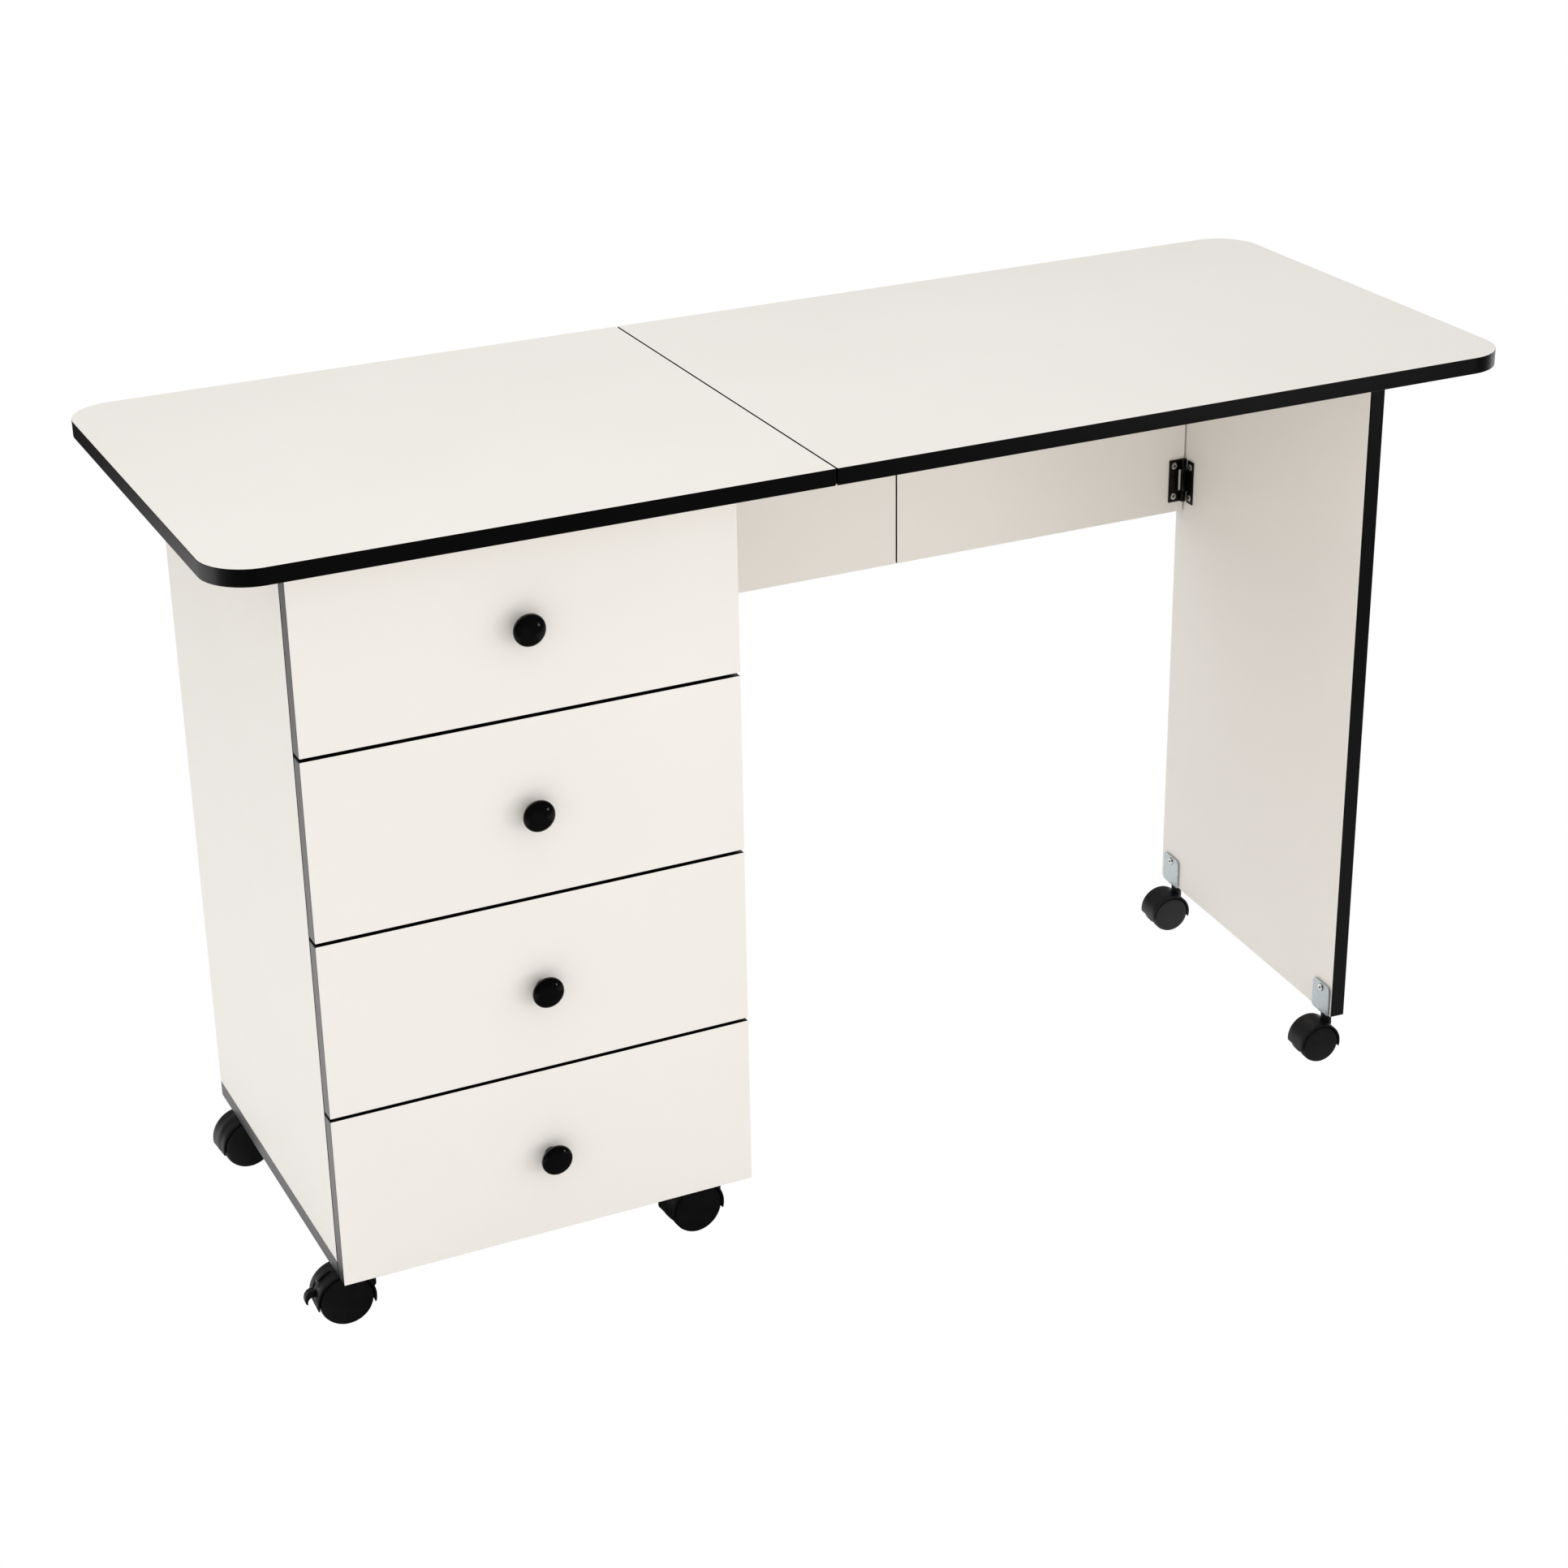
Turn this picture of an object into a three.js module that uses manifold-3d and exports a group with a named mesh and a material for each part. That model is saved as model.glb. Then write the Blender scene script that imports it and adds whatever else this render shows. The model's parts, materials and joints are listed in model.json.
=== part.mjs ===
// A folding sewing table. A four-drawer pedestal on castors carries the fixed half of the top.
// The other half is a leaf, hinged at the seam, that rests on a bifold apron and a leg panel.
// The apron and leg fold flat against the pedestal, under the overhang of the fixed half.
// Millimetres. +X runs along the length, -Y faces the front, +Z is up, and Z = 0 is the floor.
import * as THREE from "three";
import { mergeVertices } from "three/addons/utils/BufferGeometryUtils.js";
import Module from "manifold-3d";

const wasm = await Module();
wasm.setup();

// Driving dimensions
const LENGTH = 1205;
const DEPTH = 460;
const HEIGHT = 735;
const BOARD = 15;
const CLEAR = 0.3; // gap left between pieces that touch
const BAND = 0.5; // thickness of the edge banding
const BAND_CLEAR = 0.1;
const CORNER_RADIUS = 42;
const CORNER_STEPS = 8;
const SEAM = { x: -78, gap: 1.6 };
const UNDERSIDE = HEIGHT - BOARD;

const CABINET = { left: -534.5, right: -147.5, front: -167, back: 182, bottom: 55 };
const BACK_PANEL = { thick: 3, inset: 4 };
const RAIL_WIDTH = 70;

const DRAWERS = 4;
const FRONT = { thick: 15, high: 162.5, gap: 3, standOff: 2 };
const BOX = { high: 110, deep: 325, wall: 12, floor: 5, lift: 16, sideSpace: 13 };
const RUNNER = { long: 320, high: 34, wide: 11, sheet: 1.5, lip: 9, setBack: 3, rise: 45 };
const RIB = { high: 12, out: 9 };
const KNOB = {
  radius: 14.3, neck: 5, foot: 7, footHigh: 1.6, headFrom: 8.5, rimFrom: 12.5, out: 17.5, aside: 2, below: 2.3,
};

const GATE = { front: 167, back: 182, bottom: 473, joint: 1.2 };
const LEG = { inner: 514.5, bottom: 50.2, swing: -3.6, behindPin: 18, aheadOfPin: 332 };
const FLATNESS = 0.001; // triangles that lie this flat are joined after a cut
const BARREL = 3; // radius of a hinge barrel, and so the distance from a face to a hinge pin
const HINGE = { long: 45, leaf: 16, sheet: 1.5, pin: 1, pinInset: 0.5, bore: 1.35, knuckleGap: 0.4 };
const GATE_HINGE_RISE = 11.5; // from the apron's lower edge to the hinge
const SEAM_HINGE = {
  long: 30, leaf: 26, y: 205, pinDrop: 0.2, leafSetBack: 0.5, recess: 2.1, grooveClear: 0.6,
};

const BIG_CASTOR = {
  wheel: 24.2, halfWidth: 15, offset: 22, hood: 26.8, shell: 1.8, boss: 8, stem: 4, stemHigh: 12,
};
const SMALL_CASTOR = {
  wheel: 19.5, halfWidth: 14.5, offset: 12.6, hood: 21.8, shell: 1.6, boss: 5.5, stem: 3, stemHigh: 14,
};
const HOOD = { from: -15, to: 190, sideInset: 0.7, webHalf: 2, webFoot: 7, joinDepth: 0.5, stemRoot: 2 };
const TREAD = { middleGap: 3, rimInset: 2.5, rimEdge: 1.2, shoulder: 4 };
const BRAKE = { halfWide: 3.5, from: 148, to: 180, hookOut: 8, hookTop: 9, hookDown: 5 }; // degrees, mm
const WHEEL_SIDES = 24;
const AXLE_RADIUS = 3;
const AXLE_CLEAR = 0.5;
// Where the swivels stand, in from the cabinet's sides and the leg's ends
const CASTOR_INSET = { left: 30.5, right: 24.5, front: 18, back: 35.5 };
const LEG_CASTOR = { fromPin: 8.5, front: 16.5, back: 23 };
// Each castor rests with its wheels turned a few degrees from straight
const CASTOR_TURN = { front_left: -3, front_right: 5, back_left: 4, back_right: 0, leg_front: -4, leg_back: -4 };
const STEM_CLEAR = 0.4;
const BRACKET = { wide: 30, high: 34, sheet: 1.5, corner: 5 };

// Places worked out from them
const DRAWER_PITCH = FRONT.high + FRONT.gap;
const FRONT_FACE = CABINET.front - FRONT.standOff - FRONT.thick;
const GATE_TOP = UNDERSIDE - CLEAR;
const SEAM_PIN_Z = UNDERSIDE - SEAM_HINGE.pinDrop;
const MID_X = (CABINET.right + LEG.inner) / 2;
const PIN_Y = GATE.front - BARREL;
const CABINET_PIN = [CABINET.right + BARREL, PIN_Y];
const MID_PIN = [MID_X, GATE.back + BARREL];
const LEG_PIN = [LEG.inner - BARREL, PIN_Y];
const GATE_HINGE_Z = GATE.bottom + GATE_HINGE_RISE;

function paint(color, roughness, metalness = 0) {
  return new THREE.MeshStandardMaterial({ color, roughness, metalness });
}

const LAMINATE = paint(0xeeebe5, 0.45);
const BLACK_BAND = paint(0x0c0c0e, 0.35);
const INSIDE_BOARD = paint(0xe6e1d8, 0.6);
const BLACK_GLOSS = paint(0x121214, 0.2);
const BLACK_PLASTIC = paint(0x1e1f21, 0.5);
const BLACK_STEEL = paint(0x161618, 0.35, 0.4);
const ZINC = paint(0xb9c0c4, 0.35, 0.9);
const RUNNER_STEEL = paint(0xe9e9ea, 0.4, 0.2);

const table = new THREE.Group();

function place(name, geometry, material, parent = table) {
  const mesh = new THREE.Mesh(geometry, material);
  mesh.name = name;
  parent.add(mesh);
  return mesh;
}

// A box from its low and high limits along X, Y and Z
function boxGeometry([x0, x1], [y0, y1], [z0, z1]) {
  const geometry = new THREE.BoxGeometry(x1 - x0, y1 - y0, z1 - z0);
  return geometry.translate((x0 + x1) / 2, (y0 + y1) / 2, (z0 + z1) / 2);
}

// Joins and cuts
function toSolid(geometry) {
  const bare = geometry.clone();
  bare.deleteAttribute("normal");
  bare.deleteAttribute("uv");
  const merged = mergeVertices(bare, 1e-4);
  return new wasm.Manifold(
    new wasm.Mesh({
      numProp: 3,
      vertProperties: merged.attributes.position.array,
      triVerts: new Uint32Array(merged.index.array),
    }),
  );
}

function toGeometry(solid) {
  const { vertProperties, triVerts, numProp } = solid.simplify(FLATNESS).getMesh();
  const positions = new Float32Array((vertProperties.length / numProp) * 3);
  for (let i = 0; i < positions.length / 3; i++) {
    positions.set(vertProperties.subarray(i * numProp, i * numProp + 3), i * 3);
  }
  const geometry = new THREE.BufferGeometry();
  geometry.setAttribute("position", new THREE.BufferAttribute(positions, 3));
  geometry.setIndex(new THREE.BufferAttribute(triVerts, 1));
  return geometry.toNonIndexed();
}

function solidBox(x, y, z) {
  return toSolid(boxGeometry(x, y, z));
}

// An upright cylinder on the point [x, y], between two heights
function solidPost([x, y], radius, [z0, z1], sides = 12) {
  const geometry = new THREE.CylinderGeometry(radius, radius, z1 - z0, sides);
  return toSolid(geometry.rotateX(Math.PI / 2).translate(x, y, (z0 + z1) / 2));
}

// A cylinder along Y through [x, z]
function solidRod([x, z], radius, [y0, y1], sides = 20) {
  const geometry = new THREE.CylinderGeometry(radius, radius, y1 - y0, sides);
  return toSolid(geometry.translate(x, (y0 + y1) / 2, z));
}

// A shape drawn in X and Z, given a thickness along Y
function solidSlab(shape, [y0, y1], arcSteps = 12) {
  const depth = y1 - y0;
  const geometry = new THREE.ExtrudeGeometry(shape, { depth, bevelEnabled: false, curveSegments: arcSteps });
  return toSolid(geometry.rotateX(Math.PI / 2).translate(0, y1, 0));
}

// The outline of one half of the top: rounded at its outer end, square at the seam
function halfOutline(seamX, endX, inset) {
  const side = Math.sign(endX - seamX);
  const end = endX - side * inset;
  const seam = seamX + side * inset;
  const half = DEPTH / 2 - inset;
  const radius = CORNER_RADIUS - inset;
  const centreX = end - side * radius;
  const shape = new THREE.Shape();
  shape.moveTo(seam, -half * side);
  shape.lineTo(centreX, -half * side);
  const startAngle = side > 0 ? -Math.PI / 2 : Math.PI / 2;
  shape.absarc(centreX, (radius - half) * side, radius, startAngle, startAngle + Math.PI / 2, false);
  shape.absarc(centreX, (half - radius) * side, radius, startAngle + Math.PI / 2, startAngle + Math.PI, false);
  shape.lineTo(seam, half * side);
  shape.closePath();
  return shape;
}

function plate(shape, z0, z1) {
  const settings = { depth: z1 - z0, bevelEnabled: false, curveSegments: CORNER_STEPS };
  return new THREE.ExtrudeGeometry(shape, settings).translate(0, 0, z0);
}

// The two halves of the top, each a board with banding round its edge
function makeTop() {
  const halves = {
    fixed: { seamX: SEAM.x - SEAM.gap / 2, endX: -LENGTH / 2 },
    leaf: { seamX: SEAM.x + SEAM.gap / 2, endX: LENGTH / 2 },
  };
  for (const [half, { seamX, endX }] of Object.entries(halves)) {
    const band = halfOutline(seamX, endX, 0);
    band.holes.push(new THREE.Path(halfOutline(seamX, endX, BAND).getPoints(CORNER_STEPS)));
    place(`top_${half}_edging`, toGeometry(cutHingeRecesses(plate(band, UNDERSIDE, HEIGHT))), BLACK_BAND);
    const board = plate(halfOutline(seamX, endX, BAND + BAND_CLEAR), UNDERSIDE, HEIGHT);
    place(`top_${half}_board`, toGeometry(cutHingeRecesses(board)), LAMINATE);
  }
}

// Recesses under the seam take the hinge leaves, and a groove takes the upper half of the barrel
function cutHingeRecesses(geometry) {
  const reach = SEAM_HINGE.leaf + CLEAR;
  const halfLong = SEAM_HINGE.long / 2 + CLEAR;
  let solid = toSolid(geometry);
  for (const y of [-SEAM_HINGE.y, SEAM_HINGE.y]) {
    const span = [y - halfLong, y + halfLong];
    const height = [UNDERSIDE - 1, UNDERSIDE + SEAM_HINGE.recess];
    const groove = solidRod([SEAM.x, SEAM_PIN_Z], BARREL + SEAM_HINGE.grooveClear, span);
    solid = solid.subtract(solidBox([SEAM.x - reach, SEAM.x + reach], span, height)).subtract(groove);
  }
  return solid;
}

// One butt hinge about an upright pin at the origin, from z = 0 upwards. The first leaf has the
// two outer knuckles, and the second has the middle knuckle and the pin.
function hingeLeaves(firstPlate, secondPlate, long) {
  const quarter = long / 4;
  const gap = HINGE.knuckleGap / 2;
  const outer = [[0, quarter - gap], [3 * quarter + gap, long]];
  const middle = [quarter + gap, 3 * quarter - gap];
  let first = firstPlate.subtract(solidPost([0, 0], BARREL + HINGE.knuckleGap, middle));
  let second = secondPlate;
  for (const span of outer) {
    const knuckle = solidPost([0, 0], BARREL, span).subtract(solidPost([0, 0], HINGE.bore, span));
    first = first.add(knuckle);
    second = second.subtract(solidPost([0, 0], BARREL + HINGE.knuckleGap, span));
  }
  first = first.subtract(solidPost([0, 0], HINGE.bore, [0, long]));
  const pin = solidPost([0, 0], HINGE.pin, [HINGE.pinInset, long - HINGE.pinInset]);
  second = second.add(solidPost([0, 0], BARREL, middle)).add(pin);
  return [toGeometry(first), toGeometry(second)];
}

// The plate of a hinge leaf lies on a face one barrel radius from the pin. "along" is the
// direction it runs from the pin, and "offset" is the side that the face is on.
function leafPlate(along, offset, leaf, long) {
  const near = BARREL - CLEAR;
  const span = [0, leaf].map((d) => d * along.sign).sort((a, b) => a - b);
  const thick = [near - HINGE.sheet, near].map((d) => d * offset).sort((a, b) => a - b);
  return along.axis === "x" ? solidBox(span, thick, [0, long]) : solidBox(thick, span, [0, long]);
}

function placeHinge(name, parts, [x, y], z, geometries, parents = [table, table]) {
  parts.forEach((part, i) => {
    const mesh = place(`${name}_${part}`, geometries[i], BLACK_STEEL, parents[i]);
    mesh.position.set(x, y, z);
  });
}

function makeGateHinges(legGroup) {
  const toLeft = { axis: "x", sign: -1 };
  const toRight = { axis: "x", sign: 1 };
  const forward = { axis: "y", sign: -1 };
  const size = [HINGE.leaf, HINGE.long];
  const onCabinet = hingeLeaves(leafPlate(forward, -1, ...size), leafPlate(toRight, 1, ...size), HINGE.long);
  placeHinge("cabinet_hinge", ["fixed_leaf", "apron_leaf"], CABINET_PIN, GATE_HINGE_Z, onCabinet);
  const onJoint = hingeLeaves(leafPlate(toLeft, -1, ...size), leafPlate(toRight, -1, ...size), HINGE.long);
  placeHinge("mid_hinge", ["inner_leaf", "outer_leaf"], MID_PIN, GATE_HINGE_Z, onJoint);
  const [apronLeaf, legLeaf] = hingeLeaves(
    leafPlate(toLeft, 1, ...size),
    leafPlate(forward, 1, ...size),
    HINGE.long,
  );
  placeHinge("leg_hinge", ["apron_leaf"], LEG_PIN, GATE_HINGE_Z, [apronLeaf]);
  placeHinge("leg_hinge", ["leg_leaf"], [0, 0], GATE_HINGE_Z, [legLeaf], [legGroup]);
}

// The seam hinges lie on their backs, with the pin along Y level with the underside of the boards.
// They are near the ends of the seam, where the folding gate doesn't pass under their barrels.
function makeSeamHinges() {
  const { leaf, leafSetBack, pinDrop } = SEAM_HINGE;
  const rise = pinDrop + CLEAR;
  const span = [0, SEAM_HINGE.long];
  const flat = [-rise - HINGE.sheet, -rise];
  const left = solidBox([-leaf, -leafSetBack], flat, span);
  const right = solidBox([leafSetBack, leaf], flat, span);
  const geometries = hingeLeaves(left, right, SEAM_HINGE.long);
  for (const [where, y] of [["front", -SEAM_HINGE.y], ["rear", SEAM_HINGE.y]]) {
    ["fixed_leaf", "drop_leaf"].forEach((part, i) => {
      const mesh = place(`seam_hinge_${where}_${part}`, geometries[i], BLACK_STEEL);
      mesh.rotation.x = -Math.PI / 2;
      mesh.position.set(SEAM.x, y - SEAM_HINGE.long / 2, SEAM_PIN_Z);
    });
  }
}

function castorPlaces() {
  const x = { left: CABINET.left + CASTOR_INSET.left, right: CABINET.right - CASTOR_INSET.right };
  const y = { front: CABINET.front + CASTOR_INSET.front, back: CABINET.back - CASTOR_INSET.back };
  return {
    front_left: [x.left, y.front],
    front_right: [x.right, y.front],
    back_left: [x.left, y.back],
    back_right: [x.right, y.back],
  };
}

function makeCabinet() {
  const { left, right, front, back, bottom } = CABINET;
  const inside = [left + BOARD + CLEAR, right - BOARD - CLEAR];
  const depth = [front, back];
  const wallZ = [bottom + BOARD + CLEAR, UNDERSIDE - CLEAR];
  const railZ = [UNDERSIDE - CLEAR - BOARD, UNDERSIDE - CLEAR];
  const backY = back - BACK_PANEL.inset;
  let base = solidBox([left, right], depth, [bottom, bottom + BOARD]);
  for (const at of Object.values(castorPlaces())) {
    const socket = [bottom - 1, bottom + BIG_CASTOR.stemHigh + STEM_CLEAR];
    base = base.subtract(solidPost(at, BIG_CASTOR.stem + STEM_CLEAR, socket));
  }
  place("cabinet_bottom", toGeometry(base), LAMINATE);
  place("cabinet_side_left", boxGeometry([left, left + BOARD], depth, wallZ), LAMINATE);
  place("cabinet_side_right", boxGeometry([right - BOARD, right], depth, wallZ), LAMINATE);
  const panelY = [backY - BACK_PANEL.thick, backY];
  place("cabinet_back", boxGeometry(inside, panelY, wallZ), LAMINATE);
  place("cabinet_rail_front", boxGeometry(inside, [front, front + RAIL_WIDTH], railZ), INSIDE_BOARD);
  const rearEnd = panelY[0] - CLEAR;
  place("cabinet_rail_rear", boxGeometry(inside, [rearEnd - RAIL_WIDTH, rearEnd], railZ), INSIDE_BOARD);
}

function drawerBox(frontBottom) {
  const { left, right } = CABINET;
  const x = [left + BOARD + BOX.sideSpace, right - BOARD - BOX.sideSpace];
  const y = [FRONT_FACE + FRONT.thick + CLEAR, FRONT_FACE + FRONT.thick + CLEAR + BOX.deep];
  const z = [frontBottom + BOX.lift, frontBottom + BOX.lift + BOX.high];
  const { wall, floor } = BOX;
  const hollow = solidBox([x[0] + wall, x[1] - wall], [y[0] + wall, y[1] - wall], [z[0] + floor, z[1] + 1]);
  let box = solidBox(x, y, z).subtract(hollow);
  const ribZ = [frontBottom + RUNNER.rise - RIB.high / 2, frontBottom + RUNNER.rise + RIB.high / 2];
  const ribY = [y[0] + RUNNER.setBack, y[1] - RUNNER.setBack];
  box = box.add(solidBox([x[0] - RIB.out, x[0] + 1], ribY, ribZ));
  return toGeometry(box.add(solidBox([x[1] - 1, x[1] + RIB.out], ribY, ribZ)));
}

// A drawer runner is a channel screwed to the side, open towards the drawer's rib
function runnerChannel(wallX, side, height) {
  const { high, wide, sheet, lip, long, setBack } = RUNNER;
  const y = [CABINET.front + setBack, CABINET.front + setBack + long];
  const across = (from, to) => [wallX + side * from, wallX + side * to].sort((a, b) => a - b);
  const z = [height - high / 2, height + high / 2];
  let channel = solidBox(across(CLEAR, CLEAR + sheet), y, z);
  for (const flange of [[z[0], z[0] + sheet], [z[1] - sheet, z[1]]]) {
    channel = channel.add(solidBox(across(CLEAR, wide), y, flange));
  }
  for (const edge of [[z[0], z[0] + lip], [z[1] - lip, z[1]]]) {
    channel = channel.add(solidBox(across(wide - sheet, wide), y, edge));
  }
  return toGeometry(channel);
}

function knobGeometry() {
  const { radius, neck, foot, footHigh, headFrom, rimFrom, out } = KNOB;
  const profile = new THREE.Path();
  profile.moveTo(0, 0);
  profile.lineTo(foot, 0);
  profile.lineTo(foot, footHigh);
  profile.bezierCurveTo(neck, out * 0.3, neck, out * 0.5, radius * 0.7, headFrom);
  profile.quadraticCurveTo(radius, (headFrom + rimFrom) / 2, radius, rimFrom);
  profile.quadraticCurveTo(radius * 0.9, out, 0, out);
  const geometry = new THREE.LatheGeometry(profile.getPoints(3), 14);
  return geometry.rotateX(Math.PI);
}

function makeDrawers() {
  const { left, right, bottom } = CABINET;
  const middle = (left + right) / 2;
  for (let i = 0; i < DRAWERS; i++) {
    const number = i + 1; // counted from the top
    const low = bottom + (DRAWERS - 1 - i) * DRAWER_PITCH;
    const runnerZ = low + RUNNER.rise;
    const frontY = [FRONT_FACE, FRONT_FACE + FRONT.thick];
    place(`drawer_${number}_front`, boxGeometry([left, right], frontY, [low, low + FRONT.high]), LAMINATE);
    place(`drawer_${number}_box`, drawerBox(low), INSIDE_BOARD);
    const knob = place(`drawer_${number}_knob`, knobGeometry(), BLACK_GLOSS);
    knob.position.set(middle + KNOB.aside, FRONT_FACE - CLEAR, low + FRONT.high / 2 - KNOB.below);
    place(`drawer_${number}_runner_left`, runnerChannel(left + BOARD, 1, runnerZ), RUNNER_STEEL);
    place(`drawer_${number}_runner_right`, runnerChannel(right - BOARD, -1, runnerZ), RUNNER_STEEL);
  }
}

function makeApron() {
  const y = [GATE.front, GATE.back];
  const z = [GATE.bottom, GATE_TOP];
  const half = GATE.joint / 2;
  place("apron_inner", boxGeometry([CABINET.right + half, MID_X - half], y, z), LAMINATE);
  place("apron_outer", boxGeometry([MID_X + half, LEG.inner - half], y, z), LAMINATE);
}

// Where the two castors stand under the leg, in the leg's own frame
function legCastorPlaces() {
  return {
    leg_front: [LEG_CASTOR.fromPin, LEG_CASTOR.front - LEG.aheadOfPin],
    leg_back: [LEG_CASTOR.fromPin, LEG.behindPin - LEG_CASTOR.back],
  };
}

// The leg panel, drawn about its hinge pin and turned a little inwards on it
function makeLeg(legGroup) {
  const inner = BARREL;
  const x = [inner, inner + BOARD];
  const frontEnd = -LEG.aheadOfPin;
  const z = [LEG.bottom, GATE_TOP];
  let panel = solidBox(x, [frontEnd + BAND + BAND_CLEAR, LEG.behindPin], z);
  for (const at of Object.values(legCastorPlaces())) {
    const socket = [LEG.bottom - 1, LEG.bottom + SMALL_CASTOR.stemHigh + STEM_CLEAR];
    panel = panel.subtract(solidPost(at, SMALL_CASTOR.stem + STEM_CLEAR, socket));
  }
  place("leg_panel", toGeometry(panel), LAMINATE, legGroup);
  place("leg_edging", boxGeometry(x, [frontEnd, frontEnd + BAND], z), BLACK_BAND, legGroup);
  for (const [where, at] of Object.entries(legCastorPlaces())) {
    place(`${where}_bracket`, bracketGeometry(at, x), ZINC, legGroup);
  }
}

// A folded plate: a tongue with rounded corners up the leg's inner face, and a foot under its edge
function bracketGeometry([stemX, stemY], [innerX, outerX]) {
  const { wide, high, sheet, corner } = BRACKET;
  const half = wide / 2;
  const foot = [LEG.bottom - CLEAR - sheet, LEG.bottom - CLEAR];
  const top = foot[0] + high;
  const tongue = new THREE.Shape();
  tongue.moveTo(-half, foot[0]);
  tongue.lineTo(half, foot[0]);
  tongue.absarc(half - corner, top - corner, corner, 0, Math.PI / 2, false);
  tongue.absarc(corner - half, top - corner, corner, Math.PI / 2, Math.PI, false);
  tongue.closePath();
  const upright = new THREE.ExtrudeGeometry(tongue, { depth: sheet, bevelEnabled: false, curveSegments: 5 });
  upright.rotateX(Math.PI / 2).rotateZ(Math.PI / 2);
  upright.translate(innerX - CLEAR - sheet, stemY, 0);
  const footPlate = solidBox([innerX - CLEAR - sheet, outerX], [stemY - half, stemY + half], foot);
  const hole = solidPost([stemX, stemY], SMALL_CASTOR.stem + STEM_CLEAR, [foot[0] - 1, foot[1] + 1]);
  return toGeometry(toSolid(upright).add(footPlate).subtract(hole));
}

// A castor about its swivel axis. Unturned, the wheels trail towards -X, and their axle runs along Y.
function hoodSolid(castor, under) {
  const { wheel, halfWidth, offset, hood, shell, boss, stem, stemHigh } = castor;
  const axle = [-offset, wheel];
  const inner = hood - shell;
  const width = [HOOD.sideInset - halfWidth, halfWidth - HOOD.sideInset];
  const crown = new THREE.Shape();
  const [start, end] = [HOOD.from, HOOD.to].map(THREE.MathUtils.degToRad);
  crown.absarc(...axle, hood, start, end, false);
  crown.absarc(...axle, inner, end, start, true);
  crown.closePath();
  let body = solidSlab(crown, width, 9);
  const neck = solidPost([0, 0], boss, [wheel, under - CLEAR]);
  body = body.add(neck.subtract(solidRod(axle, inner, [-boss - 1, boss + 1])));
  const web = new THREE.Shape();
  web.absarc(...axle, inner + HOOD.joinDepth, 0, Math.PI, false);
  web.lineTo(axle[0] - HOOD.webFoot, axle[1] - HOOD.webFoot);
  web.lineTo(axle[0] + HOOD.webFoot, axle[1] - HOOD.webFoot);
  web.closePath();
  body = body.add(solidSlab(web, [-HOOD.webHalf, HOOD.webHalf], 6));
  const middle = [-TREAD.middleGap, TREAD.middleGap];
  body = body.subtract(solidRod(axle, AXLE_RADIUS + AXLE_CLEAR, middle, 10));
  return body.add(solidPost([0, 0], stem, [under - HOOD.stemRoot, under + stemHigh], 10));
}

// The tread has flats, and one of them lies on the floor
function wheelsGeometry({ wheel, halfWidth, offset }) {
  const flat = Math.PI / WHEEL_SIDES;
  const inner = TREAD.middleGap;
  const face = [wheel - TREAD.rimInset, halfWidth - TREAD.rimEdge];
  const tread = [wheel, halfWidth - TREAD.shoulder];
  const half = [[0, halfWidth], face, tread, [wheel, inner], [AXLE_RADIUS, inner]];
  const otherHalf = half.map(([radius, y]) => [radius, -y]);
  const outline = [...otherHalf, ...half.reverse()];
  const profile = outline.map(([radius, y]) => new THREE.Vector2(radius / Math.cos(flat), y));
  const geometry = new THREE.LatheGeometry(profile, WHEEL_SIDES);
  return geometry.rotateY(flat).translate(-offset, 0, wheel);
}

// The slot in a braked hood, which its lever fills: a piece of the hood's arc
function brakeSector(castor, clear, from, to) {
  const { wheel, offset, hood, shell } = castor;
  const shape = new THREE.Shape();
  const [start, end] = [from, to].map(THREE.MathUtils.degToRad);
  shape.absarc(-offset, wheel, hood + clear, start, end, false);
  shape.absarc(-offset, wheel, hood - shell - clear, end, start, true);
  shape.closePath();
  return shape;
}

// The lever's pad lies in the slot, and its hook stands out from the hood for a toe
function brakeLever(castor) {
  const { wheel, offset, hood, shell } = castor;
  const { halfWide, from, to, hookOut, hookTop, hookDown } = BRAKE;
  const width = [-halfWide, halfWide];
  const pad = solidSlab(brakeSector(castor, -CLEAR, from + 1, to - 1), width, 6);
  const edge = -offset - hood;
  const tip = edge - hookOut;
  const root = edge + shell / 2;
  const hook = new THREE.Shape();
  hook.moveTo(root, wheel + hookTop);
  hook.quadraticCurveTo(tip, wheel + hookTop, tip, wheel);
  hook.quadraticCurveTo(tip, wheel - hookDown / 2, tip + hookDown / 2, wheel - hookDown);
  hook.quadraticCurveTo(edge - hookDown / 2, wheel, root, wheel + 1);
  hook.closePath();
  return pad.add(solidSlab(hook, width, 5));
}

function makeCastor(name, [x, y], castor, under, parent, braked) {
  const group = new THREE.Group();
  group.position.set(x, y, 0);
  group.rotation.z = THREE.MathUtils.degToRad(CASTOR_TURN[name]) - parent.rotation.z;
  parent.add(group);
  let hood = hoodSolid(castor, under);
  if (braked) {
    const slot = brakeSector(castor, 1, BRAKE.from, BRAKE.to);
    hood = hood.subtract(solidSlab(slot, [-BRAKE.halfWide - CLEAR, BRAKE.halfWide + CLEAR], 6));
    place(`castor_${name}_brake`, toGeometry(brakeLever(castor)), BLACK_PLASTIC, group);
  }
  place(`castor_${name}_hood`, toGeometry(hood), BLACK_PLASTIC, group);
  place(`castor_${name}_wheels`, wheelsGeometry(castor), BLACK_PLASTIC, group);
}

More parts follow.
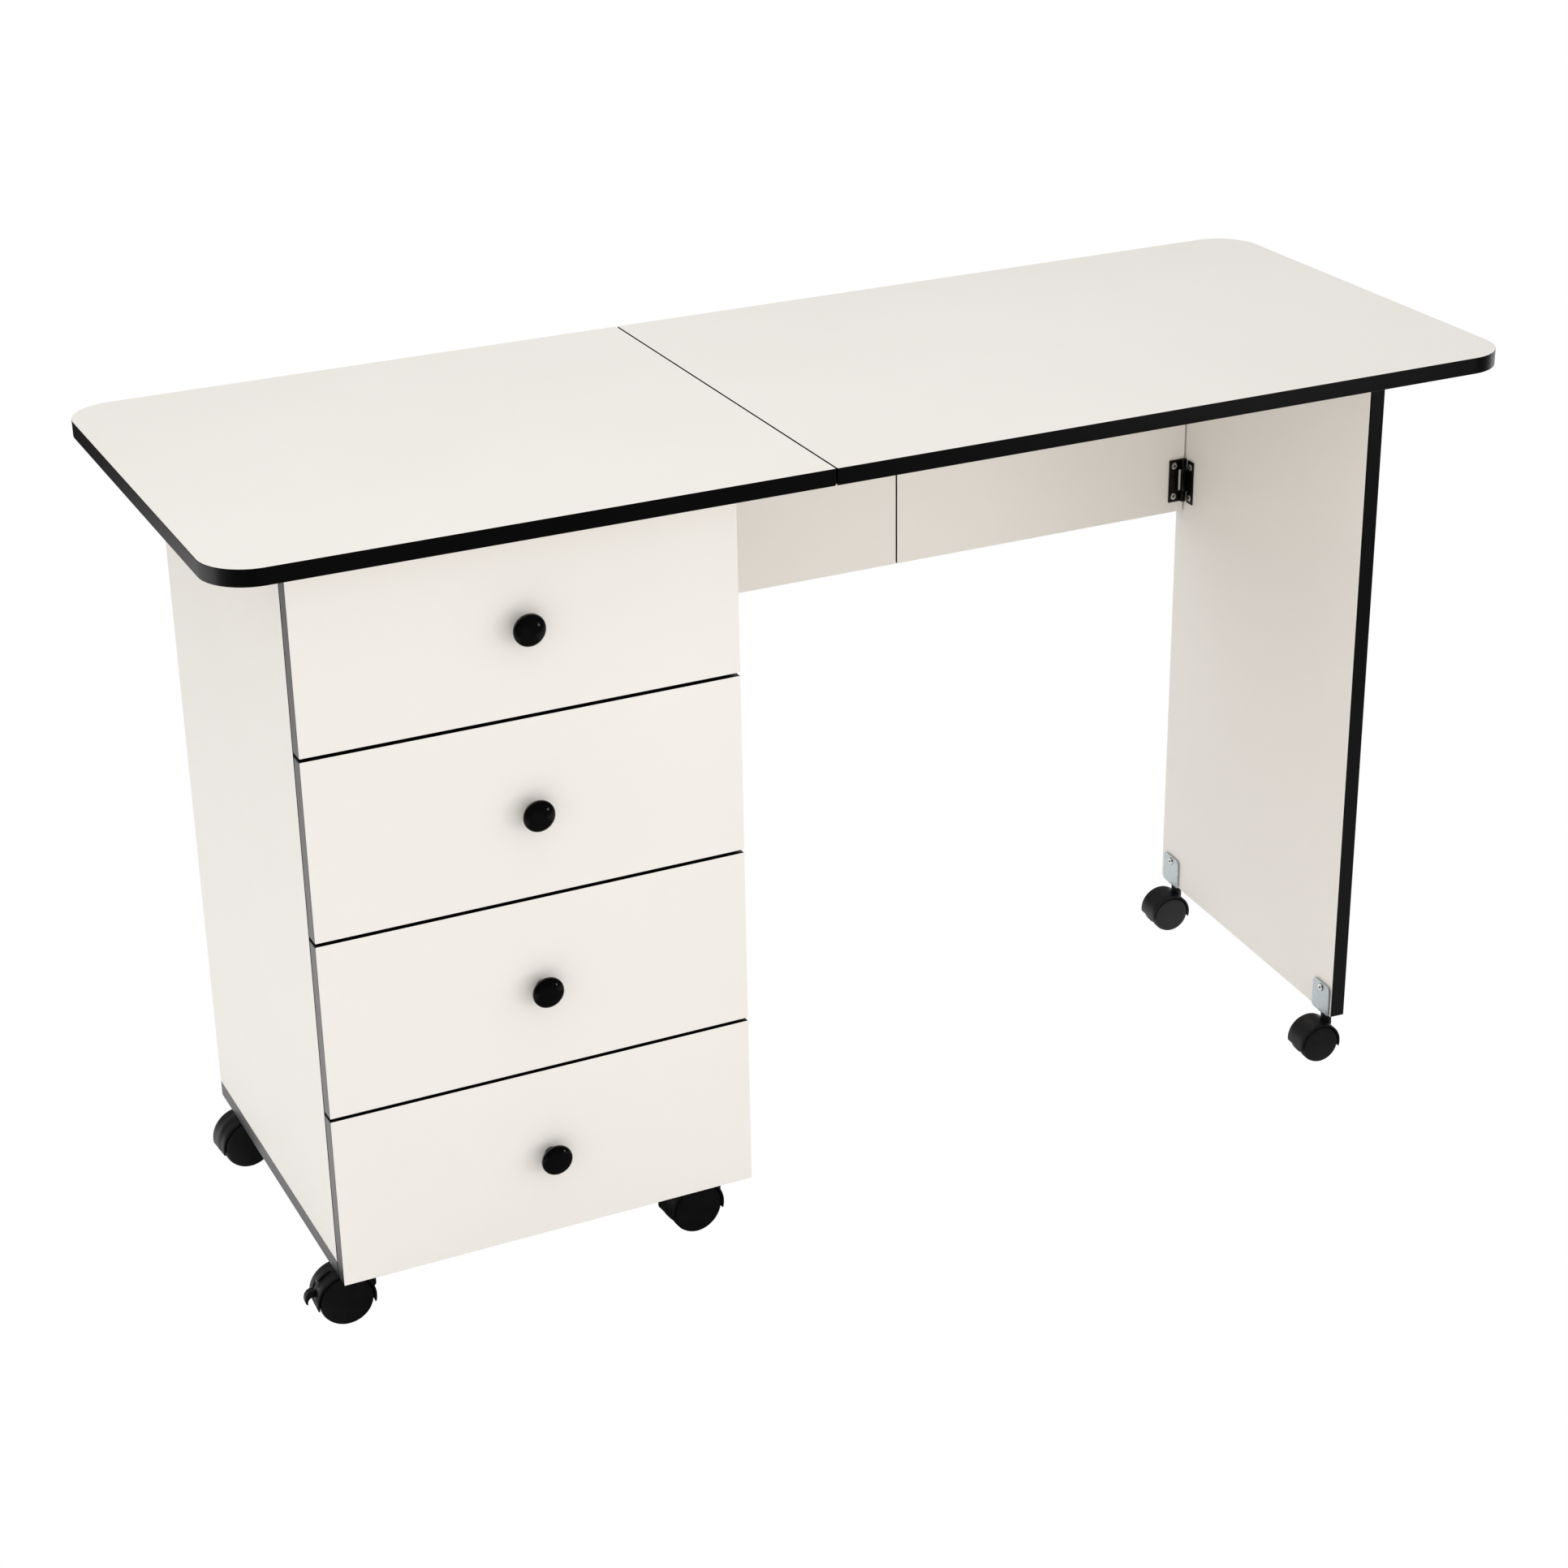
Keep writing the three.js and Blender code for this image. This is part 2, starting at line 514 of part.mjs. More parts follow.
function makeCastors(legGroup) {
  const braked = ["front_left", "back_right"];
  for (const [name, at] of Object.entries(castorPlaces())) {
    makeCastor(name, at, BIG_CASTOR, CABINET.bottom, table, braked.includes(name));
  }
  const underBracket = LEG.bottom - CLEAR - BRACKET.sheet;
  for (const [name, at] of Object.entries(legCastorPlaces())) {
    makeCastor(name, at, SMALL_CASTOR, underBracket, legGroup, false);
  }
}

makeTop();
makeSeamHinges();
makeCabinet();
makeDrawers();
makeApron();
const legGroup = new THREE.Group();
legGroup.position.set(...LEG_PIN, 0);
legGroup.rotation.z = THREE.MathUtils.degToRad(LEG.swing);
table.add(legGroup);
makeGateHinges(legGroup);
makeLeg(legGroup);
makeCastors(legGroup);

export default table;
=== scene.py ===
"""The looks of a folding sewing table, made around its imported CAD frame. Metres, +Z up.

A pedestal with four drawers carries the fixed half of the top. The other half is a leaf that
rests on a bifold apron and a leg panel. -Y is the front, and the pedestal is at -X.
"""

import json
import math

import bmesh
import bpy
from mathutils import Matrix, Vector
from mathutils.geometry import tessellate_polygon


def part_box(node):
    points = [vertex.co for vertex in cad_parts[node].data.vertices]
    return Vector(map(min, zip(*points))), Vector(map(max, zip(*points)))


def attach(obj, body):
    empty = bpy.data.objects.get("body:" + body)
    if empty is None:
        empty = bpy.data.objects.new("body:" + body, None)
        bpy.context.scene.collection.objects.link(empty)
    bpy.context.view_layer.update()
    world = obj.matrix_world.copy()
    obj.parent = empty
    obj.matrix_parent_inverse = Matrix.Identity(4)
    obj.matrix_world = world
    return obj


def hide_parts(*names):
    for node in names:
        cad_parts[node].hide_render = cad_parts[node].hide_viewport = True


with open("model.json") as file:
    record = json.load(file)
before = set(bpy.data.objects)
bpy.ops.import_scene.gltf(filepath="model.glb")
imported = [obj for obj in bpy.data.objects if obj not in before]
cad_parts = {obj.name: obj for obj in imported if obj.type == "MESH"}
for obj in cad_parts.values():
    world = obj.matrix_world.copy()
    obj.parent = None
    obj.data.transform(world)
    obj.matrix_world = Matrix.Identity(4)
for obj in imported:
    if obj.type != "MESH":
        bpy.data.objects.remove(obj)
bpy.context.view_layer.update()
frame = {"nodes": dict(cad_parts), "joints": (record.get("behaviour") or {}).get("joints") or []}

MM = 0.001
X, Y, Z = Vector((1, 0, 0)), Vector((0, 1, 0)), Vector((0, 0, 1))
SCENE = bpy.context.scene
HINGES = {joint["name"]: joint for joint in frame["joints"] if joint["type"] == "hinge"}

CAMERA_PLACE = Vector((-1.1662, -2.4224, 1.5778))
CAMERA_AZIMUTH, CAMERA_ELEVATION, CAMERA_ROLL = 25.289, 24.687, -0.944  # degrees
CAMERA_LENS, CAMERA_SENSOR = 72.61, 36.0  # millimetres

BOARD = 15 * MM
BOARD_CORNER = 0.8 * MM  # radius of a board's small corners
CORNER_RADIUS = 42 * MM
EDGE = 0.45 * MM  # rounding where a face meets the banding
APRON_EDGE = 0.75 * MM
LEAD = 0.4 * MM  # a flat strip beside each rounding, which keeps the shading of the flats even
BARREL = 3 * MM
BARREL_CLEAR = 0.06 * MM  # keeps a hinge's barrel off the boards on both sides of it
PIN_RADIUS = 1.3 * MM
PIN_CLEAR = 0.1 * MM
NOTCH_CLEAR = 2.1 * MM  # from a barrel to the edge of the plate beside it
LEG_SWING = math.radians(-3.6)
LEG_FRONT, LEG_BACK = -332 * MM, 18 * MM  # along the leg panel, from its hinge pin
LEG_STEMS = {"leg_front": LEG_FRONT + 16.5 * MM, "leg_back": LEG_BACK - 23 * MM}
BRACKET = {"sheet": 1.5 * MM, "half": 15 * MM, "corner": 5 * MM, "bend": 2.2 * MM, "gap": 1.0 * MM,
           "screw": 4 * MM, "screw_drop": 5.5 * MM}
BOX_BEVEL, RUNNER_BEVEL = 0.5 * MM, 0.3 * MM

HINGE = {"long": 45 * MM, "leaf": 16 * MM, "near": 2.7 * MM, "sheet": 1.5 * MM, "screw": 3.4 * MM}
SEAM_HINGE = {"long": 30 * MM, "leaf": 26 * MM, "near": 2.0 * MM, "sheet": 1.5 * MM, "screw": 3.2 * MM}
SEAM_HINGE_Y = 205 * MM
UPPER_HINGE_LIFT = 172 * MM  # from a gate joint's lower hinge to its upper one

BIG = {"wheel": 24.2 * MM, "half": 15 * MM, "offset": 22 * MM, "hood": 26.8 * MM, "shell": 1.8 * MM,
       "boss": 8 * MM, "under": 54.7 * MM}
SMALL = {"wheel": 19.5 * MM, "half": 14.5 * MM, "offset": 12.6 * MM, "hood": 21.8 * MM,
         "shell": 1.6 * MM, "boss": 5.5 * MM, "under": 48.1 * MM}
HOOD_ARC = (-15, 190)  # degrees about the axle, from the front over the top
AXLE_RADIUS = 2.9 * MM
WEB_HALF, WEB_FOOT = 2 * MM, 7 * MM
LEVER_ARC = (149, 179)
LEVER_HALF = 3.5 * MM
SLOTS = ((112, 140, 1.7 * MM), (148, 180, 3.8 * MM))  # start and end in degrees, half width

FLOOR_REACH = 14.0
LIGHTS = (  # name, place, target, size, watts, seen in glossy surfaces
    ("right_soft", (1.9, -2.7, 0.45), (-0.2, 0.0, 0.3), (1.6, 0.8), 9, False),
    ("low_soft", (-0.4, -1.3, 0.08), (-0.3, -0.2, 0.25), (0.9, 0.15), 0.55, False),
    ("top_soft", (-0.3, -0.3, 1.8), (-0.25, 0.0, 0.7), (0.9, 0.9), 2.4, False),
    ("spark", (1.9, -2.7, 0.15), (-0.3, 0.0, 0.4), (0.2, 0.2), 1.2, True),
)


# ---------------------------------------------------------------- materials


def new_material(name, roughness, metallic=0.0, specular=0.5):
    material = bpy.data.materials.new(name)
    material.use_nodes = True
    shader = material.node_tree.nodes["Principled BSDF"]
    shader.inputs["Roughness"].default_value = roughness
    shader.inputs["Metallic"].default_value = metallic
    shader.inputs["Specular IOR Level"].default_value = specular
    return material, material.node_tree, shader


def texture(tree, kind, scale, stretch=(1, 1, 1), **settings):
    """A texture on the object's own coordinates, in metres."""
    coordinates = tree.nodes.new("ShaderNodeTexCoord")
    mapping = tree.nodes.new("ShaderNodeMapping")
    mapping.inputs["Scale"].default_value = stretch
    node = tree.nodes.new(kind)
    node.inputs["Scale"].default_value = scale
    for socket, value in settings.items():
        node.inputs[socket].default_value = value
    tree.links.new(coordinates.outputs["Object"], mapping.inputs["Vector"])
    tree.links.new(mapping.outputs["Vector"], node.inputs["Vector"])
    return node


def ramp(tree, value, low, high, start=0.35, end=0.65):
    node = tree.nodes.new("ShaderNodeValToRGB")
    node.color_ramp.elements[0].position = start
    node.color_ramp.elements[1].position = end
    node.color_ramp.elements[0].color = (*low, 1)
    node.color_ramp.elements[1].color = (*high, 1)
    tree.links.new(value, node.inputs["Fac"])
    return node.outputs["Color"]


def grey(value):
    return (value, value, value)


def add_bump(tree, shader, heights, distance):
    """Stacks bumps: a list of (height output, strength)."""
    normal = None
    for height, strength in heights:
        node = tree.nodes.new("ShaderNodeBump")
        node.inputs["Strength"].default_value = strength
        node.inputs["Distance"].default_value = distance
        tree.links.new(height, node.inputs["Height"])
        if normal is not None:
            tree.links.new(normal, node.inputs["Normal"])
        normal = node.outputs["Normal"]
    tree.links.new(normal, shader.inputs["Normal"])


def mottled(name, low, high, roughness, specular=0.5, metallic=0.0, scale=8, grain=900, bump=0.1):
    """A surface with a slow tint, a fine grain in its gloss and a fine bump."""
    material, tree, shader = new_material(name, sum(roughness) / 2, metallic, specular)
    slow = texture(tree, "ShaderNodeTexNoise", scale, Detail=3, Roughness=0.55)
    fine = texture(tree, "ShaderNodeTexNoise", grain, Detail=2, Roughness=0.6)
    tree.links.new(ramp(tree, slow.outputs["Fac"], low, high), shader.inputs["Base Color"])
    gloss = ramp(tree, fine.outputs["Fac"], grey(roughness[0]), grey(roughness[1]))
    tree.links.new(gloss, shader.inputs["Roughness"])
    add_bump(tree, shader, [(fine.outputs["Fac"], bump)], 0.1 * MM)
    return material


def laminate_material():
    """Melamine-faced board: a warm white with a faint cloudiness and a fine pearl texture."""
    material, tree, shader = new_material("laminate", 0.45)
    cloud = texture(tree, "ShaderNodeTexNoise", 3.5, Detail=4, Roughness=0.55)
    pearl = texture(tree, "ShaderNodeTexVoronoi", 850)
    grain = texture(tree, "ShaderNodeTexNoise", 420, Detail=3, Roughness=0.6)
    colour = ramp(tree, cloud.outputs["Fac"], (0.850, 0.814, 0.763), (0.872, 0.837, 0.787), 0.3, 0.7)
    tree.links.new(colour, shader.inputs["Base Color"])
    gloss = ramp(tree, grain.outputs["Fac"], grey(0.40), grey(0.50))
    tree.links.new(gloss, shader.inputs["Roughness"])
    add_bump(tree, shader, [(pearl.outputs["Distance"], 0.05), (grain.outputs["Fac"], 0.08)], 0.1 * MM)
    return material


def zinc_material():
    """Zinc plate: cold grey with spangles that differ in tint and gloss."""
    material, tree, shader = new_material("zinc_plate", 0.4, metallic=1.0)
    spangle = texture(tree, "ShaderNodeTexVoronoi", 260)
    cloud = texture(tree, "ShaderNodeTexNoise", 130, Detail=4, Roughness=0.6)
    scratch = texture(tree, "ShaderNodeTexNoise", 500, stretch=(1, 1, 0.08), Detail=2)
    mixed = tree.nodes.new("ShaderNodeMix")
    mixed.inputs["Factor"].default_value = 0.6
    tree.links.new(spangle.outputs["Color"], mixed.inputs["A"])
    tree.links.new(cloud.outputs["Fac"], mixed.inputs["B"])
    colour = ramp(tree, mixed.outputs["Result"], (0.40, 0.45, 0.47), (0.62, 0.66, 0.67), 0.3, 0.75)
    tree.links.new(colour, shader.inputs["Base Color"])
    gloss = ramp(tree, mixed.outputs["Result"], grey(0.34), grey(0.52))
    tree.links.new(gloss, shader.inputs["Roughness"])
    add_bump(tree, shader, [(scratch.outputs["Fac"], 0.08)], 0.1 * MM)
    return material


LAMINATE = laminate_material()
BANDING = mottled("edge_banding", grey(0.0008), (0.0014, 0.0014, 0.0017), (0.29, 0.34), grain=600, bump=0.025)
INNER_BOARD = mottled("inner_board", (0.80, 0.78, 0.73), (0.85, 0.83, 0.79), (0.5, 0.62), grain=500)
KNOB_PLASTIC = mottled("knob_plastic", grey(0.0020), grey(0.0032), (0.10, 0.16), grain=300, bump=0.02)
CASTOR_PLASTIC = mottled(
    "castor_plastic", (0.0036, 0.0036, 0.0042), (0.0055, 0.0055, 0.0062), (0.38, 0.50),
    specular=0.28, scale=60, grain=2200,
)
HINGE_BLACK = mottled("hinge_steel", grey(0.0008), grey(0.0014), (0.26, 0.38), 0.25, scale=90, grain=1500)
RUNNER_STEEL = mottled("runner_steel", grey(0.74), grey(0.80), (0.32, 0.42), grain=1200)
SCREW_ZINC = mottled(
    "screw_zinc", (0.60, 0.60, 0.57), (0.82, 0.81, 0.78), (0.22, 0.36), metallic=1.0, scale=400, grain=1800
)
ZINC = zinc_material()


# ---------------------------------------------------------------- mesh helpers


def pin_of(joint):
    return Vector(HINGES[joint]["pos_m"])


def make_piece(name, bm, materials, body, replaced=(), matrix=None):
    mesh = bpy.data.meshes.new(name)
    bmesh.ops.recalc_face_normals(bm, faces=bm.faces)
    bm.to_mesh(mesh)
    bm.free()
    for material in materials:
        mesh.materials.append(material)
    piece = bpy.data.objects.new(name, mesh)
    SCENE.collection.objects.link(piece)
    if matrix is not None:
        piece.matrix_world = matrix
        bpy.context.view_layer.update()
    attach(piece, body)
    if replaced:
        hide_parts(*replaced)
    return piece


def skin(bm, rings, material=lambda station: 0, smooth=True):
    """Joins rings of equally many points with quads, and closes both ends."""
    made = [[bm.verts.new(point) for point in ring] for ring in rings]
    count = len(made[0])
    for station, (low, high) in enumerate(zip(made, made[1:])):
        for i in range(count):
            j = (i + 1) % count
            face = bm.faces.new((low[i], low[j], high[j], high[i]))
            face.smooth = smooth
            face.material_index = material(station)
    bm.faces.new(list(reversed(made[0])))
    bm.faces.new(made[-1])


def arc_points(centre, radius, start, end, steps):
    angles = [start + (end - start) * i / steps for i in range(steps + 1)]
    return [(centre[0] + radius * math.cos(a), centre[1] + radius * math.sin(a)) for a in angles]


def rectangle(u, v, radii, steps):
    """A rectangle with round corners, anticlockwise from its low corner. One radius a corner.
    A point just outside each round corner starts its straight side."""
    centres = [(0, 0, 180), (1, 0, 270), (1, 1, 0), (0, 1, 90)]
    points = []
    for (at_u, at_v, start), radius, count in zip(centres, radii, steps):
        centre_u = u[at_u] + (radius if at_u == 0 else -radius)
        centre_v = v[at_v] + (radius if at_v == 0 else -radius)
        turn = math.radians(start)
        arc = arc_points((centre_u, centre_v), radius, turn, turn + math.pi / 2, count)
        before, after = Vector(arc[0]), Vector(arc[-1])
        lead_in = Vector((math.sin(turn), -math.cos(turn))) * LEAD
        lead_out = Vector((-math.cos(turn), -math.sin(turn))) * LEAD
        points += [tuple(before + lead_in), *arc, tuple(after + lead_out)]
    return points


def slab(bm, outline, low, high, place, edge=EDGE):
    """A flat board. "outline" gives its points at an inset, and "place" puts (u, v, w) in space.
    Its faces have material 0, and the banded edge has material 1."""
    cut = edge * (1 - math.sqrt(0.5))
    stations = [(edge, low), (cut, low + cut), (0, low + edge), (0, low + edge + LEAD)]
    stations += [(0, high - edge - LEAD), (0, high - edge), (cut, high - cut), (edge, high)]
    rings = [[place(u, v, w) for u, v in outline(inset)] for inset, w in stations]
    skin(bm, rings, material=lambda station: 1 if 1 <= station <= 5 else 0)


def along(axis):
    """Puts (u, v, w) in space with w along X, Y or Z, keeping the turn of the outline."""
    return {
        "x": lambda u, v, w: (w, u, v),
        "y": lambda u, v, w: (v, w, u),
        "z": lambda u, v, w: (u, v, w),
    }[axis]


def board_from(bm, low, high, axis, edge=EDGE):
    """A banded board that fills the box from low to high, and is thin along the axis."""
    w = "xyz".index(axis)
    u, v = (w + 1) % 3, (w + 2) % 3

    def outline(inset):
        spans = [(low[k] + inset, high[k] - inset) for k in (u, v)]
        return rectangle(*spans, [BOARD_CORNER - inset] * 4, [3] * 4)

    slab(bm, outline, low[w], high[w], along(axis), edge)


def board(name, axis, body, materials=None, edge=EDGE):
    bm = bmesh.new()
    board_from(bm, *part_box(name), axis, edge=edge)
    make_piece(name + "_panel", bm, materials or [LAMINATE, BANDING], body, [name])


def lathe(bm, profile, matrix=Matrix.Identity(4), steps=48):
    """Turns a profile of (radius, height) about local Z. A radius of 0 makes a pole."""
    rings = []
    for radius, height in profile:
        if radius == 0:
            rings.append([bm.verts.new(matrix @ Vector((0, 0, height)))])
            continue
        angles = [math.tau * i / steps for i in range(steps)]
        points = [Vector((radius * math.cos(a), radius * math.sin(a), height)) for a in angles]
        rings.append([bm.verts.new(matrix @ point) for point in points])
    for low, high in zip(rings, rings[1:]):
        for i in range(steps):
            j = (i + 1) % steps
            corners = [low[i % len(low)], low[j % len(low)], high[j % len(high)], high[i % len(high)]]
            face = bm.faces.new(list(dict.fromkeys(corners)))
            face.smooth = True


def prism(bm, outline, low, high, place, bevel=0.0):
    """An outline given a thickness, with its sharp edges bevelled."""
    rings = [[bm.verts.new(place(u, v, w)) for u, v in outline] for w in (low, high)]
    faces = [bm.faces.new(list(reversed(rings[0]))), bm.faces.new(rings[1])]
    count = len(outline)
    for i in range(count):
        j = (i + 1) % count
        faces.append(bm.faces.new((rings[0][i], rings[0][j], rings[1][j], rings[1][i])))
    if bevel:
        bmesh.ops.recalc_face_normals(bm, faces=faces)
        edges = {edge for face in faces for edge in face.edges}
        sharp = [edge for edge in edges if edge.calc_face_angle(0) > math.radians(35)]
        sharp.sort(key=lambda edge: [round(c, 7) for vert in edge.verts for c in vert.co])
        bmesh.ops.bevel(bm, geom=sharp, offset=bevel, segments=2, profile=0.5, affect="EDGES")


def carve(piece, cutters):
    """Cuts the cutters out of a piece for good, and deletes them."""
    for cutter in cutters:
        modifier = piece.modifiers.new("cut", "BOOLEAN")
        modifier.object = cutter
        modifier.solver = "EXACT"
    graph = bpy.context.evaluated_depsgraph_get()
    carved = bpy.data.meshes.new_from_object(piece.evaluated_get(graph))
    piece.modifiers.clear()
    piece.data = carved
    for cutter in cutters:
        bpy.data.objects.remove(cutter)


def cutter_from(bm, material):
    mesh = bpy.data.meshes.new("cutter")
    bmesh.ops.recalc_face_normals(bm, faces=bm.faces)
    bm.to_mesh(mesh)
    bm.free()
    mesh.materials.append(material)
    cutter = bpy.data.objects.new("cutter", mesh)
    SCENE.collection.objects.link(cutter)
    return cutter


def frame_matrix(origin, x_axis, y_axis, z_axis):
    rotation = Matrix((x_axis, y_axis, z_axis)).transposed()
    return Matrix.Translation(origin) @ rotation.to_4x4()


def facing(origin, direction, twist=0.0):
    """A frame at the origin whose Z runs along the direction."""
    turn = Vector(direction).to_track_quat("Z", "Y").to_matrix().to_4x4()
    return Matrix.Translation(origin) @ turn @ Matrix.Rotation(twist, 4, "Z")


# ---------------------------------------------------------------- camera, stage and lights


def make_camera():
    azimuth, elevation, roll = map(math.radians, (CAMERA_AZIMUTH, CAMERA_ELEVATION, CAMERA_ROLL))
    level = Vector((math.sin(azimuth), math.cos(azimuth), 0)) * math.cos(elevation)
    forward = level - Z * math.sin(elevation)
    right = forward.cross(Z).normalized()
    up = right.cross(forward)
    rolled_right = right * math.cos(roll) + up * math.sin(roll)
    rolled_up = rolled_right.cross(forward)
    data = bpy.data.cameras.new("camera")
    data.lens, data.sensor_width = CAMERA_LENS, CAMERA_SENSOR
    camera = bpy.data.objects.new("camera", data)
    camera.matrix_world = frame_matrix(CAMERA_PLACE, rolled_right, rolled_up, -forward)
    SCENE.collection.objects.link(camera)
    SCENE.camera = camera


def area_light(name, place, target, size, power, mirrored):
    """A soft light. Unless it is mirrored, glossy surfaces don't show it."""
    data = bpy.data.lights.new(name, "AREA")
    data.shape = "RECTANGLE"
    data.size, data.size_y = size
    data.energy = power
    light = bpy.data.objects.new(name, data)
    light.matrix_world = facing(Vector(place), Vector(place) - Vector(target))
    light.visible_glossy = mirrored
    SCENE.collection.objects.link(light)


def link_value(tree, node, socket, value):
    """Links an output to a socket, or sets the socket to a number."""
    if hasattr(value, "is_linked"):
        tree.links.new(value, node.inputs[socket])
    else:
        node.inputs[socket].default_value = value


def blend_values(tree, factor, when_0, when_1):
    node = tree.nodes.new("ShaderNodeMix")
    link_value(tree, node, "Factor", factor)
    link_value(tree, node, "A", when_0)
    link_value(tree, node, "B", when_1)
    return node.outputs["Result"]


def remap(tree, value, start, end, low, high):
    node = tree.nodes.new("ShaderNodeMapRange")
    node.interpolation_type = "SMOOTHSTEP"
    link_value(tree, node, "Value", value)
    settings = {"From Min": start, "From Max": end, "To Min": low, "To Max": high}
    for socket, number in settings.items():
        node.inputs[socket].default_value = number
    return node.outputs["Result"]


def multiply(tree, first, second):
    node = tree.nodes.new("ShaderNodeMath")
    node.operation = "MULTIPLY"
    link_value(tree, node, 0, first)
    link_value(tree, node, 1, second)
    return node.outputs["Value"]


def seen_strength(tree, white, glossy, other):
    """How bright a part of the studio is to the camera, in a reflection, and as a light."""
    path = tree.nodes.new("ShaderNodeLightPath")
    indirect = blend_values(tree, path.outputs["Is Glossy Ray"], other, glossy)
    return blend_values(tree, path.outputs["Is Camera Ray"], indirect, white)


def make_world():
    """A white studio. In reflections it is dark on the side of the camera."""
    world = bpy.data.worlds.new("studio")
    world.use_nodes = True
    tree = world.node_tree
    coordinates = tree.nodes.new("ShaderNodeTexCoord")
    split = tree.nodes.new("ShaderNodeSeparateXYZ")
    tree.links.new(coordinates.outputs["Generated"], split.inputs["Vector"])
    glossy = remap(tree, split.outputs["Y"], -0.3, 0.6, 0.0, 0.35)
    sky = remap(tree, split.outputs["Z"], 0.0, 1.0, 1.20, 0.80)
    side = remap(tree, split.outputs["X"], -0.8, 0.2, 1.07, 1.0)
    light = multiply(tree, sky, side)
    background = tree.nodes["Background"]
    background.inputs["Color"].default_value = (1, 1, 1, 1)
    link_value(tree, background, "Strength", seen_strength(tree, 1.0, glossy, light))
    SCENE.world = world


def make_floor():
    """A white sweep. In reflections it is dark in front of the table and fades far behind it, and under
    the table it is near black, which is a painted shadow of the table."""
    material, tree, shader = new_material("floor", 0.9, specular=0.0)
    grain = texture(tree, "ShaderNodeTexNoise", 12, Detail=3)
    colour = ramp(tree, grain.outputs["Fac"], (0.87, 0.865, 0.855), (0.89, 0.885, 0.875))
    tree.links.new(colour, shader.inputs["Base Color"])
    place = tree.nodes.new("ShaderNodeNewGeometry")
    split = tree.nodes.new("ShaderNodeSeparateXYZ")
    tree.links.new(place.outputs["Position"], split.inputs["Vector"])
    beside = remap(tree, split.outputs["Y"], 0.2, 1.9, 1.2, 0.75)
    far = multiply(tree, beside, remap(tree, split.outputs["Y"], 1.55, 2.15, 1.0, 0.02))
    near = remap(tree, split.outputs["Y"], -1.3, -0.7, 0.02, 0.22)
    step = remap(tree, split.outputs["Y"], -0.25, 0.0, 0.0, 1.0)
    open_floor = blend_values(tree, step, near, far)
    # painted shadow: in reflections the floor is near black (0.05) over the table's footprint, standing in
    # for the shadow the table casts
    shadow_left_edge = remap(tree, split.outputs["X"], -0.60, -0.50, 0.0, 1.0)
    shadow_right_edge = remap(tree, split.outputs["X"], 0.1, 0.3, 1.0, 0.0)
    shadow_back_edge = remap(tree, split.outputs["Y"], 0.25, 0.5, 1.0, 0.0)
    under = multiply(tree, multiply(tree, shadow_left_edge, shadow_right_edge), shadow_back_edge)
    glossy = blend_values(tree, under, open_floor, 0.05)
    path = tree.nodes.new("ShaderNodeLightPath")
    emission = tree.nodes.new("ShaderNodeEmission")
    strength = blend_values(tree, path.outputs["Is Camera Ray"], glossy, 1.0)
    link_value(tree, emission, "Strength", strength)
    direct = tree.nodes.new("ShaderNodeMath")
    direct.operation = "MAXIMUM"
    tree.links.new(path.outputs["Is Camera Ray"], direct.inputs[0])
    tree.links.new(path.outputs["Is Glossy Ray"], direct.inputs[1])
    mixed = tree.nodes.new("ShaderNodeMixShader")
    tree.links.new(direct.outputs["Value"], mixed.inputs["Fac"])
    tree.links.new(shader.outputs["BSDF"], mixed.inputs[1])
    tree.links.new(emission.outputs["Emission"], mixed.inputs[2])
    tree.links.new(mixed.outputs["Shader"], tree.nodes["Material Output"].inputs["Surface"])
    bm = bmesh.new()
    corners = [(FLOOR_REACH * a, FLOOR_REACH * b, 0) for a, b in ((-1, -1), (1, -1), (1, 1), (-1, 1))]
    bm.faces.new([bm.verts.new(corner) for corner in corners])
    mesh = bpy.data.meshes.new("floor")
    bm.to_mesh(mesh)
    bm.free()
    mesh.materials.append(material)
    floor = bpy.data.objects.new("floor", mesh)
    SCENE.collection.objects.link(floor)


# ---------------------------------------------------------------- boards


def make_top():
    """Each half of the top is a board with a wide radius at its two free corners. Recesses under
    the seam take the hinges."""
    pin = pin_of("leaf_lift")
    for half, body in (("fixed", "cabinet"), ("leaf", "top_leaf")):
        low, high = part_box(f"top_{half}_edging")
        free_left = half == "fixed"
        lefts = (True, False, False, True)
        radii = [CORNER_RADIUS if left == free_left else BOARD_CORNER for left in lefts]
        steps = [20 if radius == CORNER_RADIUS else 3 for radius in radii]

        def outline(inset):
            spans = [(low.x + inset, high.x - inset), (low.y + inset, high.y - inset)]
            return rectangle(*spans, [radius - inset for radius in radii], steps)

        bm = bmesh.new()
        slab(bm, outline, low.z, high.z, along("z"))
        nodes = [f"top_{half}_board", f"top_{half}_edging"]
        piece = make_piece(f"top_{half}", bm, [LAMINATE, BANDING], body, nodes)
        carve(piece, [recess_cutter(pin, side) for side in (-1, 1)])


def recess_cutter(pin, side):
    reach = SEAM_HINGE["leaf"] + 0.3 * MM
    half = SEAM_HINGE["long"] / 2 + 0.3 * MM
    middle = side * SEAM_HINGE_Y
    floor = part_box("top_fixed_board")[0].z
    depth = 2.1 * MM
    bm = bmesh.new()
    channel = arc_points((0, 0), BARREL + 0.6 * MM, 0, math.pi, 16)
    rise = floor + depth - pin.z
    curve = [(x, z) for x, z in channel if z > rise]
    drop = -3 * MM
    outline = [(-reach, drop), (reach, drop), (reach, rise), *curve, (-reach, rise)]
    prism(bm, outline, middle - half, middle + half, lambda u, v, w: (pin.x + u, w, pin.z + v))
    return cutter_from(bm, INNER_BOARD)


def leg_frame():
    pin = pin_of("gate_leg_hinge")
    return Matrix.Translation((pin.x, pin.y, 0)) @ Matrix.Rotation(LEG_SWING, 4, "Z")


